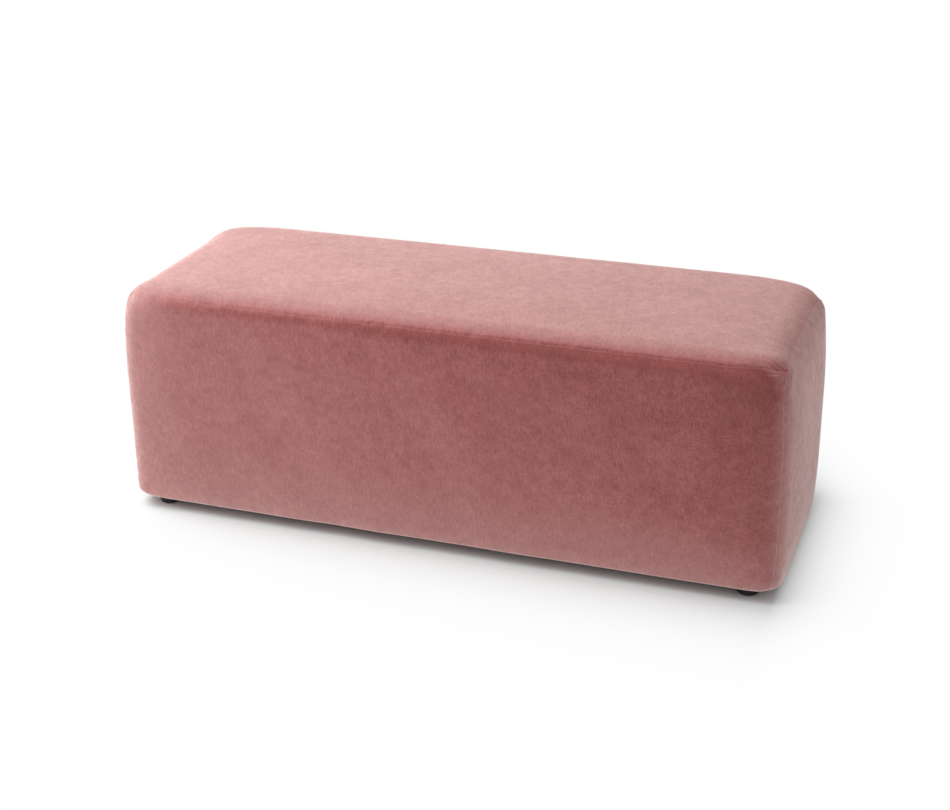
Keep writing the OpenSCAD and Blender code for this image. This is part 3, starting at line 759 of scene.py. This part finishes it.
def velvet(f, looks):
    """Short-pile velvet with a painted sheen: its base colour is deep where it is looked at
    straight on, paler as it turns away and palest at a grazed rim, with a cloudy nap, faint brush
    strokes along the pile and fine tufts. Painted bounce light from the floor and painted sheen
    make it paler towards the lower edge, a painted highlight where the parted pile catches the
    light makes it paler at upright seams, and painted shade makes it deeper along the seat's end
    seams."""
    spot = f.place()
    cloud = f.noise(spot, 7, 2.0, 0.5)
    patch = f.noise(spot, 50, 4.0, 0.7)
    stroke = f.noise(f.place(260, 80, 1, kind="UV"), 1.0, 3.0, 0.65)
    tuft = f.noise(spot, 360, 3.0, 0.7)
    height = f.part(spot, 2)
    relief = f.bump(tuft, 0.9 * MM, 0.35, after=f.bump(patch, 3 * MM, 0.2))
    turned = f.node("ShaderNodeLayerWeight", None, {"Blend": 0.5, "Normal": relief}, "Facing")
    usual = (looks.cloud + looks.mottle + 2 * looks.grain) / 2
    nap = cloud * looks.cloud + patch * looks.mottle + (stroke + tuft) * looks.grain - usual
    sheen_lean = turned + nap * (0.3 + turned * 0.6)
    for place, low, high, much in (
            # painted bounce light from the floor, paler towards the lower edge
            (height, 20 * MM, 130 * MM, looks.hem_bounce_pale),
            # painted sheen and bounce light along the lower edge
            (height, 16 * MM, 52 * MM, looks.edge_sheen_pale),
            # painted highlight where the parted pile catches the light at an upright seam
            (f.fact("seam"), 0.3 * MM, 1.5 * MM, looks.seam_highlight_pale),
            # painted shade along the seat's end seams
            (f.fact("verge"), 0.0, 30 * MM, -looks.verge_shade_deep)):
        sheen_lean = sheen_lean + (1 - place.smooth(low, high)) * much
    # Painted sheen: the base colour pales as the velvet turns from the eye to a grazed rim
    stops = ((0.0, looks.velvet_ahead), (0.07, looks.velvet_facing), (0.125, looks.velvet_near),
             (0.2, looks.velvet_turned), (0.65, looks.velvet_aside), (0.83, looks.velvet_far),
             (1.0, looks.velvet_rim))
    colour = f.node("ShaderNodeValToRGB", {"stops": stops}, {"Fac": sheen_lean})
    shading = looks.shading + (1 - turned.smooth(0.01, 0.09)) * looks.shading_facing
    colour = f.node("ShaderNodeVectorMath", {"operation": "SCALE"},
                    {0: colour, "Scale": nap * shading + 1})
    f.surface(Base_Color=colour, Roughness=0.85, Specular_IOR_Level=0.15, Normal=relief,
              Sheen_Weight=looks.sheen, Sheen_Roughness=looks.sheen_roughness,
              Sheen_Tint=(*looks.sheen_tint, 1))


def wadding_finish(f, looks):
    """White wadding: matted fibres."""
    spot = f.place()
    fibre, lump = f.noise(spot, 260, 6.0, 0.7, 2.5), f.noise(spot, 34, 3.0, 0.6)
    colour = f.mottled(looks.wadding, fibre * 0.6 + lump * 0.4, 0.3, 0.75, 0.82, 1)
    f.surface(Base_Color=colour, Roughness=0.95, Sheen_Weight=0.4, Sheen_Roughness=0.6,
              Normal=f.bump(fibre + lump, 1.2 * MM, 0.7))


def foam_finish(f, looks):
    """Open-cell foam: a field of small round cells."""
    spot = f.place()
    cell, lump = f.cells(spot, 620.0), f.noise(spot, 40, 3.0, 0.6)
    colour = f.mottled(looks.foam, cell * 0.9 + lump * 0.3, 0.2, 0.8, 0.78, 1)
    f.surface(Base_Color=colour, Roughness=0.9, Normal=f.bump(cell, 0.8 * MM, 0.6))


def pine(f, looks, axis):
    """Planed pine: growth rings round a pith beside the timber, drawn out along the grain, and
    fibres."""
    long_grain, rings_in_a_metre, fibres_along, fibres_across = 0.06, 260, 18.0, 900.0
    spot = f.place(*(long_grain if k == axis else 1.0 for k in range(3)))
    warp, slow = f.noise(spot, 7, 2.0, 0.5), f.noise(spot, 2.2, 1.0, 0.5)
    one, other = [f.part(spot, k) for k in range(3) if k != axis]
    pith = 0.11, 0.06
    far = ((one + pith[0] + slow * 0.05).power(2) + (other + pith[1]).power(2)).power(0.5)
    ring = (far * rings_in_a_metre + warp * 5).maths("FRACT")
    late = ring.smooth(0.35, 0.95) * (1 - ring.smooth(0.955, 1.0))
    along = f.place(*(fibres_along if k == axis else fibres_across for k in range(3)))
    fibre = f.noise(along, 1.0, 2.0, 0.6)
    colour = f.mix(late * 0.75 + fibre * 0.3 - 0.08,
                   tuple(looks.pine_early), tuple(looks.pine_late))
    f.surface(Base_Color=colour, Roughness=0.55 + fibre * 0.2,
              Normal=f.bump(fibre + late, 0.3 * MM, 0.35))


def plywood(f, looks):
    """Birch plywood: flame grain on the faces, and veneers in two directions along the edges."""
    veneer = 1.4 * MM
    grain = f.noise(f.place(0.12, 1, 1), 26, 4.0, 0.6, 1.2)
    fleck = f.noise(f.place(30, 700, 700), 1.0, 2.0, 0.6)
    layer = f.part(f.place(), 2).maths("PINGPONG", veneer) * (1 / veneer)
    upward = f.part(f.node("ShaderNodeNewGeometry", out="Normal"), 2)
    edge = 1 - upward.maths("ABSOLUTE").smooth(0.3, 0.7)
    birch = tuple(looks.birch)
    face = f.mix(grain.smooth(0.35, 0.7) * 0.6 + fleck * 0.25, birch, dimmed(birch, 0.72))
    stack = f.mix(layer.smooth(0.4, 0.6), birch, dimmed(birch, 0.45))
    f.surface(Base_Color=f.mix(edge, face, stack), Roughness=0.5 + fleck * 0.2,
              Normal=f.bump(fleck, 0.2 * MM, 0.4))


def hardboard_finish(f, looks):
    """Pressed board: a fine felt of brown fibres."""
    spot = f.place()
    felt, stain = f.noise(spot, 420, 4.0, 0.7, 1.5), f.noise(spot, 9, 3.0, 0.6)
    colour = f.mottled(looks.hardboard, felt * 0.7 + stain * 0.4, 0.3, 0.8, 0.7, 1.25)
    f.surface(Base_Color=colour, Roughness=0.55 + felt * 0.2, Normal=f.bump(felt, 0.3 * MM, 0.4))


def dust_cloth_finish(f, looks):
    """Black non-woven cloth: pressed fibres with a grid of bonding points."""
    spot = f.place()
    fibre, point = f.noise(spot, 380, 6.0, 0.7, 2.0), f.cells(spot, 420.0, 0.15)
    colour = f.mottled(looks.cloth, fibre, 0.3, 0.75, 0.6, 1.7)
    f.surface(Base_Color=colour, Roughness=0.85, Sheen_Weight=0.15, Sheen_Roughness=0.6,
              Normal=f.bump(fibre + point, 0.4 * MM, 0.5))


def plastic_finish(f, looks):
    """Black moulded plastic with a fine spark grain."""
    spot = f.place()
    grain, scuff = f.noise(spot, 1500, 2.0, 0.5), f.noise(spot, 120, 4.0, 0.65)
    colour = f.mottled(looks.plastic, scuff, 0.5, 0.9, 1, 1.8)
    f.surface(Base_Color=colour, Roughness=0.3 + scuff * 0.2, Normal=f.bump(grain, 0.1 * MM, 0.4))


def zinc_finish(f, looks):
    """Zinc plating: bright metal with a cloudy bloom."""
    bloom = f.noise(f.place(), 300, 3.0, 0.6)
    colour = f.mottled(looks.zinc, bloom, 0.3, 0.7, 1, 0.8)
    f.surface(Base_Color=colour, Metallic=1.0, Roughness=0.25 + bloom * 0.25)


def finish(name, maker, *rest):
    """The finish of that name, made the first time that it is asked for."""
    if name not in MADE:
        made = Finish(name)
        maker(made, bpy.context.scene.bench_finish, *rest)
        MADE[name] = made.material
    return MADE[name]


def dress(nodes, material):
    """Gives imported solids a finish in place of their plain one."""
    for name in nodes:
        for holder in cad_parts[name].material_slots:
            holder.material = material


def bring_in(piece, slot, *nodes):
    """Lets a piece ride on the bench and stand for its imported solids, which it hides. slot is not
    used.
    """
    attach(piece, "root")
    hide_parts(*nodes)
    return piece


# Pieces
def settled_cover(context):
    """The cover, settled the first time that it is asked for."""
    cover = Cover(context)
    if not SETTLED:
        settle(cover)
        SETTLED.update(cover.settled)
    cover.settled = SETTLED
    return cover


def lower_round(count):
    """Angles round the lower edge, from 90 degrees to the last one before nothing."""
    return np.radians(np.linspace(90, 0, count + 1)[:-1])


class BENCH_OT_velvet_cover(bpy.types.Operator):
    """Make the five velvet panels with their rolled seams, gathers and creases"""
    bl_idname = "bench.velvet_cover"
    bl_label = "Velvet cover"

    def execute(self, context):
        cover = settled_cover(context)
        c, farthest = cover.seams, 50 * MM
        flap_rows, round_rows = 7, 12
        lengthwise, crosswise, heights = cover.grid(*VELVET_STEPS, c.step)
        flap, bend = np.linspace(0, 1, flap_rows + 1)[:-1], lower_round(round_rows)
        panels = [("seat", "top", False, (1.19, 0.42),
                   Panel(cover, "seat", lengthwise, crosswise, seed=SEED["seat"]))]
        for side, ending, kind, turned in SIDES:
            s, flat = (crosswise, (0.41, 0.47)) if kind == "end" else (lengthwise, (1.19, 0.47))
            panels.append((ending, ending, turned, flat,
                           Panel(cover, kind, s, (), flap, bend, heights, SEED[side])))
        for name, node, turned, flat, panel in panels:
            height = cover.slow(panel) + cover.sewing(panel)
            layers = [half_turn(panel.raised(depth, c.play, height), turned)
                      for depth in (0.0, c.thickness)]
            near, far = np.minimum(panel.near, farthest), np.full_like(panel.near, farthest)
            # Distances that place the painted highlight at the upright seams (seam) and the painted
            # shade along the seat's end seams (verge)
            seam, verge = (far, near) if panel.face == "seat" else (near, far)
            facts = {"seam": seam, "verge": verge}
            piece = put_shell("velvet_" + name, *layers, finish("velvet", velvet), facts)
            bring_in(piece, "velvet", "cover_" + node)
        return {"FINISHED"}


class BENCH_OT_padding(bpy.types.Operator):
    """Make the wadding and the foam under the cover"""
    bl_idname = "bench.padding"
    bl_label = "Wadding and foam"

    def execute(self, context):
        cover = settled_cover(context)
        c = cover.seams
        lengthwise, crosswise, heights = cover.grid(*PAD_STEPS)
        bell, corner_reach, round_rows = 6 * MM, 80 * MM, 6
        # Depth of a face under the velvet's, and how far it is pressed in under a seam
        wadding_faces = (1.8 * MM, 1.8 * MM), (4.8 * MM, 1.0 * MM)
        foam_face = 5.1 * MM, 0.9 * MM

        def face(kind, name, rise=heights):
            if kind == "seat":
                return Panel(cover, kind, lengthwise, crosswise, seed=SEED[name])
            s = crosswise if kind == "end" else lengthwise
            return Panel(cover, kind, s, bend=lower_round(round_rows), rise=rise, seed=SEED[name])

        def layer(panel, play, depth, press):
            """The panel at a depth, pressed in under the seams by a bell, and at the corners."""
            bells = [np.exp(-(d / bell) ** 2) for d in (panel.near, panel.beside)]
            corner = fade(np.hypot(panel.near, panel.beside), corner_reach, 1.0)
            down = press * np.maximum(*bells) + c.crease * corner
            return panel.raised(depth, play, cover.slow(panel) - down * panel.level)

        def over(depth, press):
            """Front, seat and back in one sheet."""
            front, seat, back = (layer(face(kind, name), 0.0, depth, press) for kind, name in (
                ("long", "front"), ("seat", "seat"), ("long", "back")))
            return np.concatenate([front, seat[1:-1], half_turn(back)[::-1, ::-1]])

        white, cream = finish("wadding", wadding_finish), finish("foam", foam_finish)
        wrap = put_shell("wadding_over", *(over(*faces) for faces in wadding_faces), white)
        bring_in(wrap, "wadding", "wadding_wrap")
        for side, ending, kind, turned in SIDES[2:]:
            layers = [half_turn(layer(face(kind, side), c.play, *faces), turned)
                      for faces in wadding_faces]
            piece = put_shell("wadding_" + side, *layers, white)
            bring_in(piece, "wadding", "wadding_" + ending)

        seat, depth, below = face("seat", "seat"), foam_face[0], cover.top - cover.deck
        foot = seat.points(depth, c.play)
        foot[..., 0] = lengthwise * (
            cover.half_x(depth) - cover.pull_x(seat.beside, below, below) - c.play)
        foot[..., 1] = crosswise[:, None] * (
            cover.half_y(depth) - cover.pull_y(seat.near, below, below) - c.play)
        foot[..., 2] = cover.deck
        pads = [("seat", "seat", layer(seat, c.play, *foam_face), foot)]
        to_deck = np.append(heights[heights < cover.deck], cover.deck)
        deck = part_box("deck_board")[1]
        for side, ending, kind, turned in SIDES:
            outer = layer(face(kind, side, to_deck), c.play, *foam_face)
            inner = outer.copy()
            if kind == "end":
                inner[..., 0], inner[..., 1] = deck.x, crosswise * (deck.y - c.play)
            else:
                inner[..., 0], inner[..., 1] = lengthwise * (deck.x - c.play), -deck.y
            pads.append((side, ending, half_turn(outer, turned), half_turn(inner, turned)))
        for name, node, outer, inner in pads:
            piece = put_shell("foam_pad_" + name, outer, inner, cream)
            bring_in(piece, "foam", "foam_" + node)
        return {"FINISHED"}


class BENCH_OT_dust_cover(bpy.types.Operator):
    """Make the black dust cover under the bench"""
    bl_idname = "bench.dust_cover"
    bl_label = "Dust cover"

    def execute(self, context):
        low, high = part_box("dust_cover")
        deepest_sag, ripple = 2.2 * MM, 0.25 * MM
        hem, hem_edge, hem_width = 0.2 * MM, 0.6 * MM, 12 * MM
        s, t = np.meshgrid(across(2 * high.x, *HEM_STEPS), across(2 * high.y, *HEM_STEPS))
        x, y = s * high.x, t * high.y
        sag = deepest_sag * ((1 - s ** 2) * (1 - t ** 2)) ** 2
        uneven = waves(x, y, 40 * MM, 160 * MM, count=16, seed=71)
        uneven = ripple * uneven * ((1 - s ** 8) * (1 - t ** 8))
        level = np.minimum(uneven, 0) - sag
        rim = np.minimum((1 - np.abs(s)) * high.x, (1 - np.abs(t)) * high.y)
        folded = hem / (1 + np.exp((rim - hem_width) / hem_edge))
        top, bottom = (joined(x, y, z) for z in (high.z + level, low.z + level - folded))
        piece = put_shell("dust_cloth", top, bottom, finish("dust_cloth", dust_cloth_finish))
        bring_in(piece, "dust_cloth", "dust_cover")
        return {"FINISHED"}


class BENCH_OT_glides(bpy.types.Operator):
    """Make the four round glides"""
    bl_idname = "bench.glides"
    bl_label = "Glides"

    def execute(self, context):
        material = finish("black_plastic", plastic_finish)
        # In millimetres; the rim, round a groove, as steps in from the side and down from the top
        hole, recess, roof, chamfer, lip, soft, brim = 2.1, 7.5, 8.0, 0.3, 0.5, 6.0, 2.0
        rim = [[0.35, 2.6], [0.7, 2.3], [0.3, 2.0], [0.0, 1.2], [0.2, 0.5], [1.0, 0.0]]
        steps, sides = 12, 96
        arc = np.linspace(0, np.pi / 2, steps + 1)
        around = np.linspace(0, 2 * np.pi, sides + 1)[:-1]
        small = arc[::4]
        for name in ("front_left", "front_right", "back_left", "back_right"):
            low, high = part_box("glide_" + name)
            middle, radius, top = (low + high) / 2, (high.x - low.x) / 2 / MM, high.z / MM
            outline = MM * np.concatenate([
                [[hole, top], [hole, roof], [recess - chamfer, roof], [recess, roof - chamfer],
                 [recess, lip]],
                np.stack([recess + lip - lip * np.cos(small), lip - lip * np.sin(small)], -1),
                np.stack([radius - brim - soft + soft * np.sin(arc),
                          soft - soft * np.cos(arc)], -1),
                np.array([radius, top]) - rim])
            r, z = outline[:, :1], outline[:, 1:]
            points = joined(middle.x + r * np.cos(around), middle.y + r * np.sin(around), z)
            rows, cols = points.shape[:2]
            j, i = np.mgrid[0:rows, 0:cols]
            near, beside = (j + 1) % rows, (i + 1) % cols
            quads = np.stack([j * cols + i, j * cols + beside,
                              near * cols + beside, near * cols + i], -1).reshape(-1, 4)
            piece = put_mesh("glide_foot_" + name, points, quads, material)
            piece.data.set_sharp_from_angle(angle=math.radians(40))
            bring_in(piece, "black_plastic", "glide_" + name)
        return {"FINISHED"}


class BENCH_OT_frame_finish(bpy.types.Operator):
    """Give the timber, boards, screws and staples their finishes"""
    bl_idname = "bench.frame_finish"
    bl_label = "Frame and fastenings"

    def execute(self, context):
        timber = [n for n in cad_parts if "screws" not in n]
        for axis, starts in enumerate(("rail_", ("end_rail_", "cross_rail_"), "post_")):
            dress([n for n in timber if n.startswith(starts)],
                  finish("pine_along_" + "xyz"[axis], pine, axis))
        dress(["deck_board"], finish("plywood", plywood))
        dress([n for n in timber if n.startswith("board_")], finish("hardboard", hardboard_finish))
        dress([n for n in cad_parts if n.endswith(("screws", "staples"))],
              finish("zinc", zinc_finish))
        return {"FINISHED"}


# Stage
def put_looking(name, data, place, ahead, turned=Matrix.Identity(3)):
    """A lamp or camera at a place that looks ahead, level, then turned about its own axes."""
    thing = bpy.data.objects.new(name, data)
    bpy.context.scene.collection.objects.link(thing)
    way = ahead.to_track_quat("-Z", "Y").to_matrix() @ turned
    thing.matrix_world = Matrix.LocRotScale(place, way, None)
    return thing


class BENCH_OT_stage(bpy.types.Operator):
    """Set the floor, the lamps and the camera"""
    bl_idname = "bench.stage"
    bl_label = "Stage"

    def execute(self, context):
        scene, stage, form = context.scene, context.scene.bench_stage, context.scene.bench_form
        scene.view_settings.view_transform = "Standard"
        self.floor(stage, form)
        self.sky(scene, stage)
        for name, power, width, place, aim in (
                ("key_lamp", stage.key, 2.4, (-1.6, -0.5, 2.7), (0, 0, 0.3)),
                ("fill_lamp", stage.fill, 1.6, (-1.7, -1.6, 2.0), (-0.4, 0, 0.25)),
                ("edge_lamp", stage.edge, 0.8, (-2.2, -0.25, 0.32), (-0.6, -0.1, 0.25))):
            data = bpy.data.lights.new(name, "AREA")
            data.shape, data.size, data.size_y, data.energy = "RECTANGLE", width, width * 0.7, power
            put_looking(name, data, Vector(place), Vector(aim) - Vector(place))
        self.camera(scene, stage, form)
        return {"FINISHED"}

    def floor(self, stage, form):
        """A matt floor under and round the bench that clears to plain white further out, for the
        camera only."""
        reach = 15.0
        f = Finish("floor")
        spot, out = f.place(), 0.0
        for axis, half, clears in ((0, form.length / 2 - stage.shade_under, stage.shade_aside),
                                   (1, form.depth / 2, stage.shade_ahead)):
            past = (f.part(spot, axis).maths("ABSOLUTE") - half).maths("MAXIMUM", 0.0)
            out = past / clears + out
        clear = 1 - (out * -1).maths("EXPONENT")
        matt = f.node("ShaderNodeBsdfDiffuse", None, {"Color": tuple(stage.floor)})
        glow = f.node("ShaderNodeEmission", None, {"Color": (1, 1, 1), "Strength": 1.0})
        rays = f.node("ShaderNodeLightPath", out="Is Camera Ray")
        f.finish_with(f.node("ShaderNodeMixShader", None, {0: rays * clear, 1: matt, 2: glow}))
        corners = reach * np.array([[-1.0, -1, 0], [1, -1, 0], [1, 1, 0], [-1, 1, 0]])
        put_mesh("floor", corners, np.array([[0, 1, 2, 3]]), f.material)

    def sky(self, scene, stage):
        """Even light all round, which the camera sees as white."""
        world = scene.world = scene.world or bpy.data.worlds.new("sky")
        world.use_nodes = True
        nodes, links = world.node_tree.nodes, world.node_tree.links
        light, rays, strength = (nodes["Background"], nodes.new("ShaderNodeLightPath"),
                                 nodes.new("ShaderNodeMath"))
        light.inputs["Color"].default_value = (1, 1, 1, 1)
        strength.operation = "MULTIPLY_ADD"
        strength.inputs[1].default_value = 1 - stage.sky
        strength.inputs[2].default_value = stage.sky
        links.new(rays.outputs["Is Camera Ray"], strength.inputs[0])
        links.new(strength.outputs[0], light.inputs["Strength"])

    def camera(self, scene, stage, form):
        """The photograph's camera, which looks at the bench's middle but for three small turns."""
        az, el = stage.azimuth, stage.elevation
        back = Vector((math.sin(az) * math.cos(el), -math.cos(az) * math.cos(el), math.sin(el)))
        turned = (Matrix.Rotation(stage.yaw, 3, "Y") @ Matrix.Rotation(stage.pitch, 3, "X")
                  @ Matrix.Rotation(-stage.roll, 3, "Z"))
        data = bpy.data.cameras.new("camera")
        data.lens, data.sensor_width, data.sensor_fit = stage.lens, 36.0, "HORIZONTAL"
        data.clip_start, data.clip_end = 0.05, 100.0
        place = Vector((0, 0, form.height / 2)) + back * stage.distance
        scene.camera = put_looking("camera", data, place, -back, turned)


class BENCH_PT_panel(bpy.types.Panel):
    """Lists the bench's sizes, colours and steps"""
    bl_label = "Upholstered bench"
    bl_idname = "BENCH_PT_panel"
    bl_space_type = "VIEW_3D"
    bl_region_type = "UI"
    bl_category = "Bench"

    def draw(self, context):
        for name, kind, steps in GROUPS:
            box = self.layout.box()
            for key in kind.__annotations__:
                label = key.replace("_", " ").capitalize()
                box.prop(getattr(context.scene, name), key, text=label)
            for step in steps:
                box.operator(step.bl_idname)


GROUPS = (("bench_form", BenchForm, ()),
          ("bench_seams", BenchSeams, (BENCH_OT_velvet_cover, BENCH_OT_padding)),
          ("bench_finish", BenchFinish,
           (BENCH_OT_dust_cover, BENCH_OT_glides, BENCH_OT_frame_finish)),
          ("bench_stage", BenchStage, (BENCH_OT_stage,)))
KINDS = (*(kind for _, kind, _ in GROUPS), *(step for _, _, steps in GROUPS for step in steps),
         BENCH_PT_panel)


def register():
    for kind in KINDS:
        bpy.utils.register_class(kind)
    for name, kind, _ in GROUPS:
        setattr(bpy.types.Scene, name, bpy.props.PointerProperty(type=kind))


def unregister():
    for name, _, _ in GROUPS:
        delattr(bpy.types.Scene, name)
    for kind in reversed(KINDS):
        bpy.utils.unregister_class(kind)


def main():
    register()
    bpy.ops.bench.velvet_cover()
    bpy.ops.bench.padding()
    bpy.ops.bench.dust_cover()
    bpy.ops.bench.glides()
    bpy.ops.bench.frame_finish()
    bpy.ops.bench.stage()


if __name__ == "__main__":
    main()
